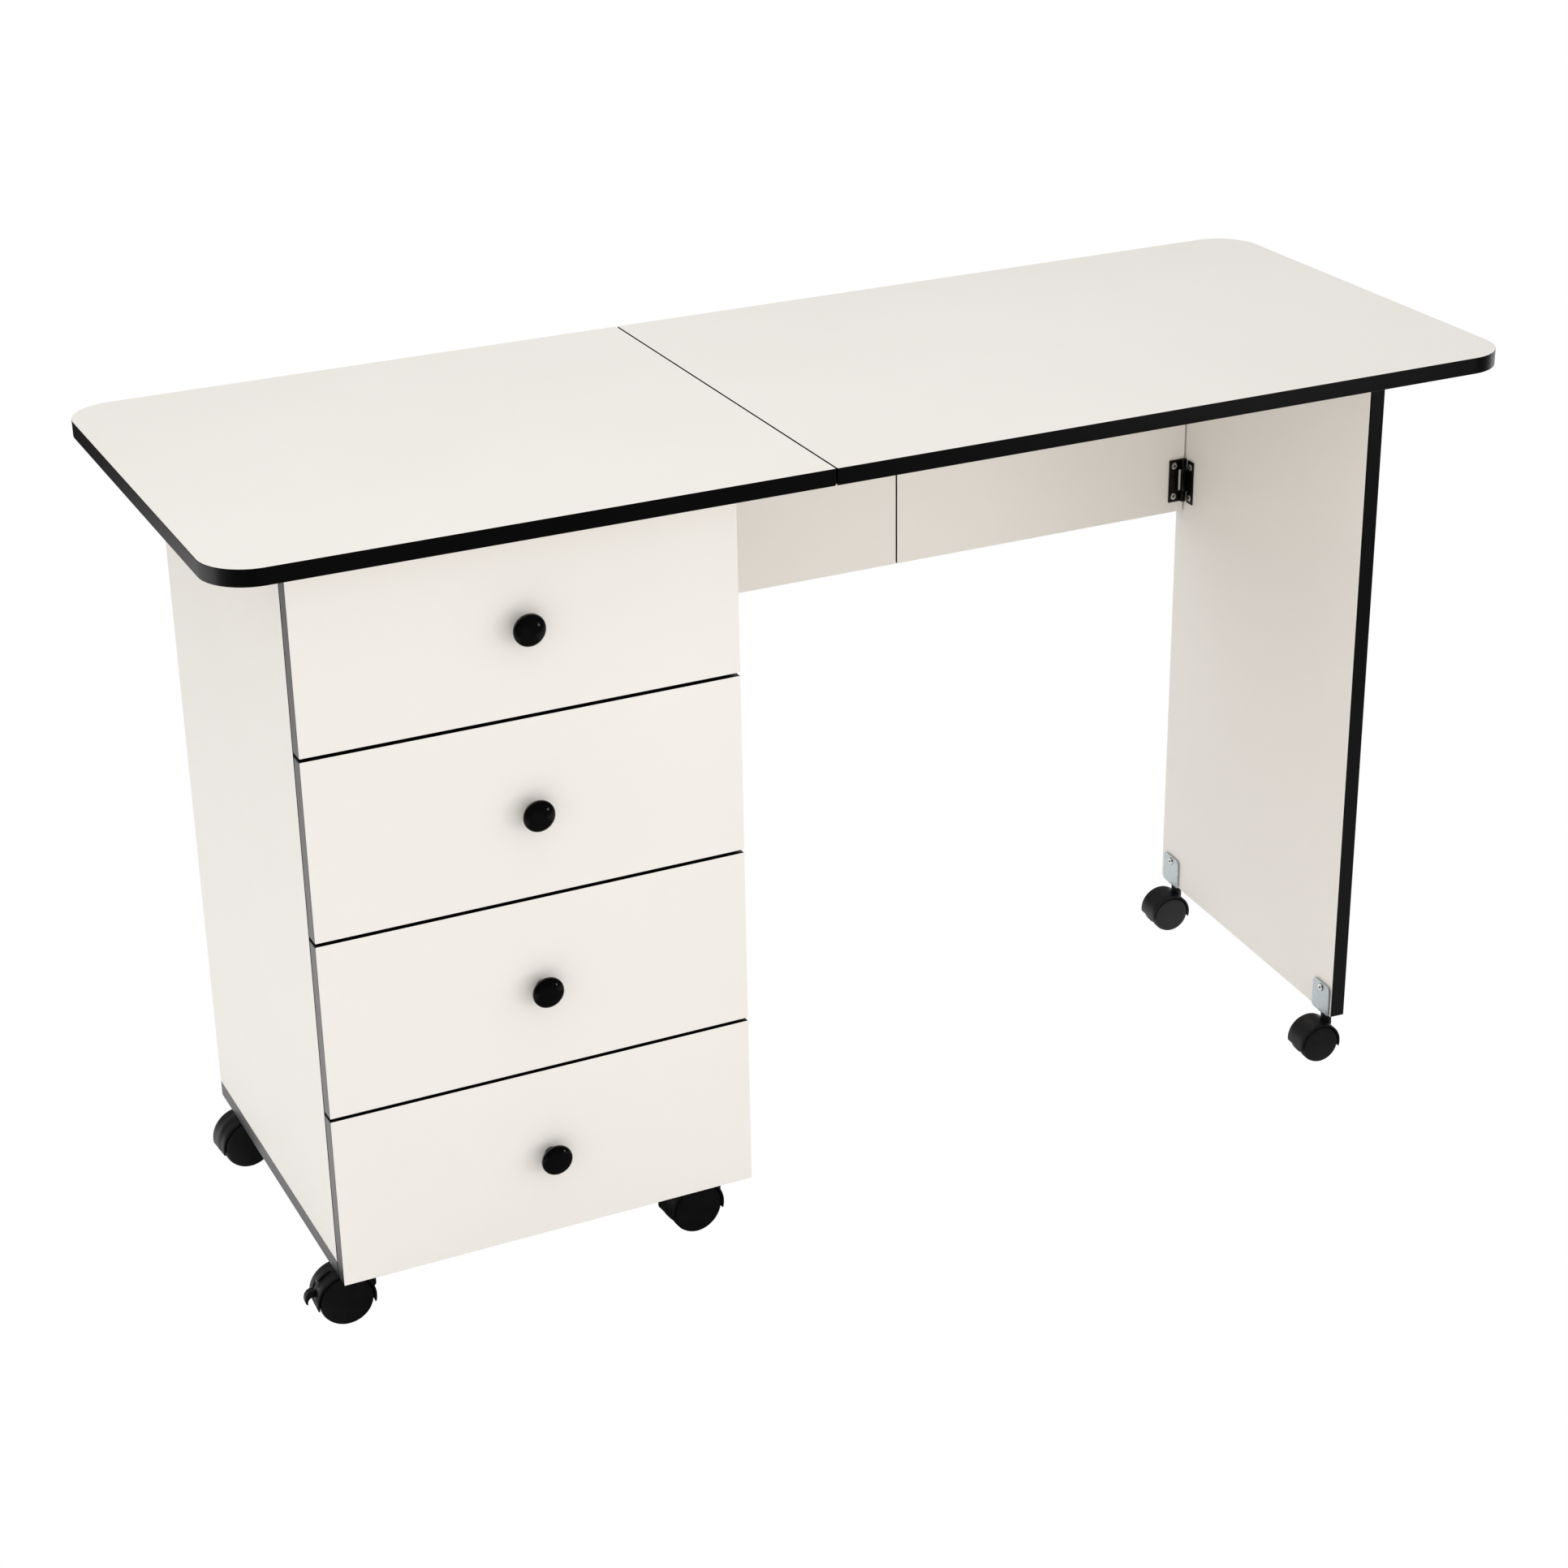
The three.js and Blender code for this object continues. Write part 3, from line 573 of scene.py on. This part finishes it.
def make_boards():
    board("cabinet_bottom", "z", "cabinet")
    board("cabinet_side_left", "x", "cabinet")
    board("cabinet_side_right", "x", "cabinet")
    board("cabinet_back", "y", "cabinet", [LAMINATE, INNER_BOARD])
    for rail in ("cabinet_rail_front", "cabinet_rail_rear"):
        board(rail, "z", "cabinet", [INNER_BOARD, INNER_BOARD])
    board("apron_inner", "y", "gate_inner", edge=APRON_EDGE)
    board("apron_outer", "y", "gate_outer", edge=APRON_EDGE)
    low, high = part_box("leg_panel")
    bm = bmesh.new()
    leg_low = (BARREL, LEG_FRONT, low.z)
    leg_high = (BARREL + BOARD, LEG_BACK, high.z)
    board_from(bm, leg_low, leg_high, "x")
    nodes = ["leg_panel", "leg_edging"]
    make_piece("leg_board", bm, [LAMINATE, BANDING], "leg", nodes, leg_frame())


# ---------------------------------------------------------------- screws, hinges and brackets


def add_screw(bm, matrix, radius, rise, material=0):
    """A cross-head screw whose head stands "rise" out of local z = 0."""
    arm, half = radius * 0.58, radius * 0.17
    top = radius * 0.86
    cross = []
    for k in range(4):
        spin = Matrix.Rotation(k * math.pi / 2, 2)
        cross += [spin @ Vector(p) for p in ((arm, -half), (arm, half), (half, half))]
    rim = [Vector(p) for p in arc_points((0, 0), top, 0, math.tau, 32)[:-1]]
    flat = [[Vector((*p, 0)) for p in rim], [Vector((*p, 0)) for p in cross]]
    points = [bm.verts.new(matrix @ Vector((*p, rise))) for p in rim + cross]
    for triangle in tessellate_polygon(flat):
        bm.faces.new([points[i] for i in triangle]).material_index = material
    ring = points[: len(rim)]
    for height in (rise * 0.35, -0.2 * MM):
        lower = [bm.verts.new(matrix @ Vector((*(p * (radius / top)), height))) for p in rim]
        for i in range(len(ring)):
            j = (i + 1) % len(ring)
            bm.faces.new((ring[i], ring[j], lower[j], lower[i])).material_index = material
        ring = lower
    bm.faces.new(ring).material_index = material
    walls = points[len(rim):]
    bottom = [bm.verts.new(matrix @ Vector((*(p * 0.6), rise - radius * 0.45))) for p in cross]
    for i in range(len(walls)):
        j = (i + 1) % len(walls)
        bm.faces.new((walls[i], walls[j], bottom[j], bottom[i])).material_index = material
    bm.faces.new(bottom).material_index = material


def hinge_leaf(name, body, pin, up, run, face, size, outer, replaced):
    """One leaf of a butt hinge. The pin starts at "pin" and runs along "up". The plate runs from
    it along "run" and lies on a board on the side that "face" points to. The leaf has the two
    outer knuckles or the middle one, and the pin goes with the middle one."""
    long, leaf, near, sheet = (size[key] for key in ("long", "leaf", "near", "sheet"))
    gap = 0.2 * MM
    quarter = long / 4
    first, last = quarter + gap, 3 * quarter - gap
    spans = [(0, quarter - gap), (3 * quarter + gap, long)] if outer else [(first, last)]
    notch = BARREL + NOTCH_CLEAR
    if outer:
        waist = [(0, 3 * quarter), (notch, 3 * quarter), (notch, quarter), (0, quarter)]
        outline = [(0, 0), (leaf, 0), (leaf, long), (0, long), *waist]
    else:
        root = [(notch, last), (0, last), (0, first), (notch, first)]
        outline = [(notch, 0), (leaf, 0), (leaf, long), (notch, long), *root]

    def place(u, v, w):
        return pin + run * u + up * v + face * w

    bm = bmesh.new()
    prism(bm, outline, near - sheet, near, place, bevel=0.25 * MM)
    turn = frame_matrix(pin, run, up.cross(run), up)
    lip = 0.3 * MM
    radius = BARREL - BARREL_CLEAR
    for low, high in spans:
        tube = [(PIN_RADIUS + PIN_CLEAR, low), (radius - lip, low), (radius, low + lip)]
        tube += [(radius, high - lip), (radius - lip, high), (PIN_RADIUS + PIN_CLEAR, high)]
        lathe(bm, tube, turn, steps=28)
    if not outer:
        rod = [(0, 0.1 * MM), (PIN_RADIUS, 0.5 * MM), (PIN_RADIUS, long - 0.5 * MM), (0, long - 0.1 * MM)]
        lathe(bm, rod, turn, steps=20)
    seat = near - sheet
    middle = (notch + leaf) / 2
    rows = [0.14 * long, 0.86 * long] if long > 40 * MM else [0.25 * long, 0.75 * long]
    for row, height in enumerate(rows):
        twist = 0.35 + 0.9 * row + (0.5 if outer else 0.0)
        head = facing(place(middle, height, seat), -face, twist)
        add_screw(bm, head, size["screw"], 0.45 * MM, material=1)
    make_piece(name, bm, [HINGE_BLACK, SCREW_ZINC], body, replaced)


def make_gate_hinges():
    """Two hinges on each joint of the gate. The lower ones stand for CAD nodes."""
    leg = leg_frame().to_3x3()
    joints = [
        ("cabinet_hinge", "gate_cabinet_hinge", "fixed_leaf", "cabinet", -Y, -X,
         "apron_leaf", "gate_inner", X, Y),
        ("mid_hinge", "gate_middle_hinge", "inner_leaf", "gate_inner", -X, -Y,
         "outer_leaf", "gate_outer", X, -Y),
        ("leg_hinge", "gate_leg_hinge", "apron_leaf", "gate_outer", -X, Y,
         "leg_leaf", "leg", leg @ -Y, leg @ X),
    ]
    for name, joint, first, first_body, run_1, face_1, second, second_body, run_2, face_2 in joints:
        pin = pin_of(joint)
        pin.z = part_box(f"{name}_{first}")[0].z
        for level, lift in (("lower", 0), ("upper", UPPER_HINGE_LIFT)):
            base = pin + Z * lift
            for leaf, body, run, face, outer in (
                (first, first_body, run_1, face_1, True),
                (second, second_body, run_2, face_2, False),
            ):
                nodes = [f"{name}_{leaf}"] if level == "lower" else []
                hinge_leaf(f"{name}_{level}_{leaf}", body, base, Z, run, face, HINGE, outer, nodes)


def make_seam_hinges():
    pin = pin_of("leaf_lift")
    leaves = (("fixed_leaf", "cabinet", -X, True), ("drop_leaf", "top_leaf", X, False))
    for where, y in (("front", -SEAM_HINGE_Y), ("rear", SEAM_HINGE_Y)):
        start = Vector((pin.x, y - SEAM_HINGE["long"] / 2, pin.z))
        for leaf, body, run, outer in leaves:
            node = f"seam_hinge_{where}_{leaf}"
            hinge_leaf(node + "_plate", body, start, Y, run, Z, SEAM_HINGE, outer, [node])


def make_bracket(where, stem_y):
    """A folded plate: a tongue with round corners up the leg's inner face, a tight bend, and a
    narrower foot under the leg's edge that holds the castor's stem."""
    sheet, half, corner, bend = (BRACKET[key] for key in ("sheet", "half", "corner", "bend"))
    face = BARREL - BRACKET["gap"] - sheet / 2
    low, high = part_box(f"{where}_bracket")
    top, foot = high.z, low.z + sheet / 2
    steps = 6
    stations = []
    for i in range(steps + 1):
        angle = math.pi / 2 * i / steps
        height = top - corner + corner * math.cos(angle)
        stations.append((face, height, half - corner + corner * math.sin(angle), X))
    for i in range(steps + 1):
        angle = math.pi / 2 * i / steps
        centre_x, centre_z = face + bend, foot + bend
        outward = X * math.cos(angle) + Z * math.sin(angle)
        x, z = centre_x - bend * math.cos(angle), centre_z - bend * math.sin(angle)
        stations.append((x, z, half - i * MM, outward))
    stations.append((BARREL + BOARD - 2 * MM, foot, half - steps * MM, Z))
    rings = []
    for x, z, width, thick in stations:
        spot = X * x + Z * z + Y * stem_y
        across = [(-1, -1), (1, -1), (1, 1), (-1, 1)]
        rings.append([spot + Y * width * a + thick * (sheet / 2) * b for a, b in across])
    bm = bmesh.new()
    skin(bm, rings, smooth=False)
    edges = [edge for edge in bm.edges if edge.calc_face_angle(0) > math.radians(50)]
    edges.sort(key=lambda edge: [round(c, 7) for vert in edge.verts for c in vert.co])
    bmesh.ops.bevel(bm, geom=edges, offset=0.3 * MM, segments=2, profile=0.5, affect="EDGES")
    spot = X * (face - sheet / 2) + Y * stem_y + Z * (top - BRACKET["screw_drop"])
    add_screw(bm, facing(spot, -X, 0.6), BRACKET["screw"], 1.3 * MM, material=1)
    materials, nodes = [ZINC, SCREW_ZINC], [f"{where}_bracket"]
    make_piece(f"{where}_plate", bm, materials, "leg", nodes, leg_frame())


# ---------------------------------------------------------------- drawers


def make_drawers():
    for number in range(1, 5):
        body = f"drawer_{number}"
        board(f"drawer_{number}_front", "y", body)
        make_knob(number, body)
        finish_node(f"drawer_{number}_box", INNER_BOARD, BOX_BEVEL)
        for side in ("left", "right"):
            finish_node(f"drawer_{number}_runner_{side}", RUNNER_STEEL, RUNNER_BEVEL)


def finish_node(node, material, bevel):
    """A CAD node that stays: its own material, joined vertices and softened edges."""
    piece = frame["nodes"][node]
    piece.data.materials.clear()
    piece.data.materials.append(material)
    weld = piece.modifiers.new("weld", "WELD")
    weld.merge_threshold = 0.01 * MM
    round_off = piece.modifiers.new("round_off", "BEVEL")
    round_off.width = bevel
    round_off.segments = 2
    round_off.limit_method = "ANGLE"
    round_off.angle_limit = math.radians(40)


def make_knob(number, body):
    """A turned knob: a small foot, a narrow neck and a shallow domed disc."""
    low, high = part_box(f"drawer_{number}_knob")
    centre = (low + high) / 2
    base = Vector((centre.x, high.y, centre.z))
    mm_profile = [(0, 0), (6.7, 0), (7, 0.3), (7, 1.2), (6.6, 1.8), (5.7, 2.5), (5.1, 3.8), (5, 5)]
    mm_profile += [(5.3, 6.4), (6.4, 7.8), (8.8, 9), (11.6, 9.9), (13.4, 10.8), (14.1, 11.8), (14.3, 12.8)]
    mm_profile += [(14.1, 13.8), (13.4, 14.6), (12, 15.4), (9.6, 16.3), (6.7, 17), (3.5, 17.4), (0, 17.5)]
    bm = bmesh.new()
    lathe(bm, [(r * MM, h * MM) for r, h in mm_profile], facing(base, -Y), steps=64)
    nodes = [f"drawer_{number}_knob"]
    make_piece(f"drawer_{number}_handle", bm, [KNOB_PLASTIC], body, nodes)


# ---------------------------------------------------------------- castors


def hood_ring(castor, angle, outer, inner):
    """The section of a hood at an angle about its axle: a band with soft edges. A big castor's
    hood also has a raised strip along its middle."""
    half = castor["half"] - 0.4 * MM
    strip = 0.12 * MM if castor is BIG else 0.0
    marks = [(1, 0.9), (0.99, 0.4), (0.97, 0.12), (0.94, 0), (0.6, 0), (0.17, 0)]
    marks += [(0.155, -strip), (0.1, -strip)]
    axle = Vector((-castor["offset"], 0, castor["wheel"]))
    out = X * math.cos(angle) + Z * math.sin(angle)
    depth = min(1.0, (outer - inner) / (1.6 * MM))
    ring = []
    for side, ordered in ((-1, marks), (1, marks[::-1])):
        for mark, drop in ordered:
            sunk = drop * MM if drop > 0 else drop
            ring.append(axle + out * (outer - sunk * depth) + Y * half * mark * side)
    for mark in (1, 0.5, -0.5, -1):
        ring.append(axle + out * inner + Y * half * mark)
    return ring


def add_hood(bm, castor):
    """The shell over both wheels, with round tips, the collar of the swivel, and the web that
    holds the axle between the wheels. Known fault: the collar is a straight post, so inside the
    hood it passes through the wheels."""
    outer, shell = castor["hood"], castor["shell"]
    inner = outer - shell
    middle = (outer + inner) / 2
    first, last = HOOD_ARC
    tip = [(0.0, 0.15), (0.35, 0.6), (1.2, 0.9), (2.4, 1.0)]
    stations = [(first + degrees, fill) for degrees, fill in tip]
    steps = 44
    span = last - first - 4.8
    stations += [(first + 2.4 + span * i / steps, 1.0) for i in range(1, steps)]
    stations += [(last - degrees, fill) for degrees, fill in reversed(tip)]
    rings = []
    for degrees, fill in stations:
        part = shell / 2 * fill
        rings.append(hood_ring(castor, math.radians(degrees), middle + part, middle - part))
    skin(bm, rings)
    neck, under = castor["boss"], castor["under"]
    crown = castor["wheel"] + math.sqrt(max(outer**2 - castor["offset"] ** 2, 0))
    waist = [(neck, crown + MM), (neck * 0.97, crown + 2 * MM)]
    waist = [(radius, height) for radius, height in waist if height < under - MM]
    profile = [(0, castor["wheel"] + 4 * MM), (neck, castor["wheel"] + 4 * MM), *waist]
    profile += [(neck * 0.97, under - 0.6 * MM), (neck * 0.97 - 0.6 * MM, under), (0, under)]
    lathe(bm, profile, steps=36)
    web = arc_points((-castor["offset"], castor["wheel"]), inner + 0.5 * MM, 0, math.pi, 24)
    foot_z = castor["wheel"] - WEB_FOOT
    web += [(-castor["offset"] - WEB_FOOT, foot_z), (-castor["offset"] + WEB_FOOT, foot_z)]
    prism(bm, web, -WEB_HALF, WEB_HALF, lambda u, v, w: (u, w, v))


def add_wheels(bm, castor):
    """Two discs on one axle. Each has a slightly domed face inside a narrow rim."""
    wheel, half = castor["wheel"], castor["half"]
    axle = Vector((-castor["offset"], 0, wheel))
    inner = 3 * MM
    profile = [(AXLE_RADIUS, inner), (wheel - 4 * MM, inner), (wheel - 1 * MM, inner + 0.4 * MM)]
    profile += [(wheel - 0.2 * MM, inner + 1.2 * MM), (wheel, inner + 2.4 * MM), (wheel, half - 3.6 * MM)]
    profile += [(wheel - 0.5 * MM, half - 3.1 * MM), (wheel - 0.6 * MM, half - 1.6 * MM)]
    profile += [(wheel - 0.9 * MM, half - 1.0 * MM), (wheel - 1.4 * MM, half - 0.7 * MM)]
    profile += [(wheel - 2.0 * MM, half - 0.6 * MM)]
    profile += [(wheel * (1 - 0.12 * k), half - 0.6 * MM * (1 - 0.12 * k) ** 2) for k in range(1, 8)]
    profile += [(0, half)]
    for side in (Y, -Y):
        lathe(bm, profile, facing(axle, side), steps=72)
    rod = [(0, -half + MM), (AXLE_RADIUS, -half + MM), (AXLE_RADIUS, half - MM), (0, half - MM)]
    lathe(bm, rod, facing(axle, Y), 20)


def add_brake(bm, castor):
    """A lever: a pad in the hood's slot, and a hooked toe tab that stands out from it."""
    axle_x, axle_z = -castor["offset"], castor["wheel"]
    outer, shell = castor["hood"], castor["shell"]
    start, end = map(math.radians, LEVER_ARC)
    pad = arc_points((axle_x, axle_z), outer - 0.3 * MM, start, end, 8)
    pad += arc_points((axle_x, axle_z), outer - shell + 0.3 * MM, end, start, 8)
    prism(bm, pad, -LEVER_HALF, LEVER_HALF, lambda u, v, w: (u, w, v), bevel=0.2 * MM)
    edge = axle_x - outer
    mm_hook = [(1, 10.6), (-2, 10.9), (-5, 9.4), (-7.2, 6.4), (-8, 2.8), (-7.6, -0.4)]
    mm_hook += [(-6.2, -2.8), (-5.2, -2.4), (-5.4, 0), (-4.4, 2.4), (-2.6, 3.9), (1, 4.4)]
    hook = [(edge + u * MM, axle_z + v * MM) for u, v in mm_hook]
    prism(bm, hook, -LEVER_HALF, LEVER_HALF, lambda u, v, w: (u, w, v), bevel=0.7 * MM)


def slot_cutters(castor):
    """A thin slot over the crown and the opening that the lever fills."""
    axle = Vector((-castor["offset"], 0, castor["wheel"]))
    outer, inner = castor["hood"] + 2 * MM, castor["hood"] - castor["shell"] - 2 * MM
    cutters = []
    for start, end, half in SLOTS:
        angles = [math.radians(a) for a in (start, end)]
        outline = arc_points((axle.x, axle.z), outer, *angles, 8)
        outline += arc_points((axle.x, axle.z), inner, *reversed(angles), 8)
        bm = bmesh.new()
        prism(bm, outline, -half, half, lambda u, v, w: (u, w, v))
        cutters.append(cutter_from(bm, CASTOR_PLASTIC))
    return cutters


def make_castors():
    """Each castor is built about its swivel axis, and its wheels trail towards -X. Known fault:
    the two hoods that are carved for a lever have no web afterwards."""
    for name in ("front_left", "front_right", "back_left", "back_right", "leg_front", "leg_back"):
        castor = SMALL if name.startswith("leg") else BIG
        swivel = pin_of(f"castor_{name}_swivel")
        turn = Vector(HINGES[f"castor_{name}_roll"]["axis"]).xy.angle_signed(Y.xy)
        at = Matrix.Translation((swivel.x, swivel.y, 0)) @ Matrix.Rotation(turn, 4, "Z")
        braked = f"castor_{name}_brake" in frame["nodes"]
        body = f"castor_{name}_swivel"
        bm = bmesh.new()
        add_hood(bm, castor)
        nodes = [f"castor_{name}_hood"]
        hood = make_piece(f"castor_{name}_shell", bm, [CASTOR_PLASTIC], body, nodes, at)
        if braked:
            cutters = slot_cutters(castor)
            for cutter in cutters:
                cutter.matrix_world = at
            bpy.context.view_layer.update()
            carve(hood, cutters)
            bm = bmesh.new()
            add_brake(bm, castor)
            nodes = [f"castor_{name}_brake"]
            lever = f"castor_{name}_brake"
            make_piece(lever + "_lever", bm, [CASTOR_PLASTIC], lever, nodes, at)
        bm = bmesh.new()
        add_wheels(bm, castor)
        body, nodes = f"castor_{name}_rollers", [f"castor_{name}_wheels"]
        make_piece(f"castor_{name}_discs", bm, [CASTOR_PLASTIC], body, nodes, at)


# ---------------------------------------------------------------- the scene

make_camera()
make_world()
make_floor()
for light in LIGHTS:
    area_light(*light)
SCENE.view_settings.view_transform = "Standard"

make_top()
make_boards()
make_drawers()
make_gate_hinges()
make_seam_hinges()
for place_name, y in LEG_STEMS.items():
    make_bracket(place_name, y)
make_castors()
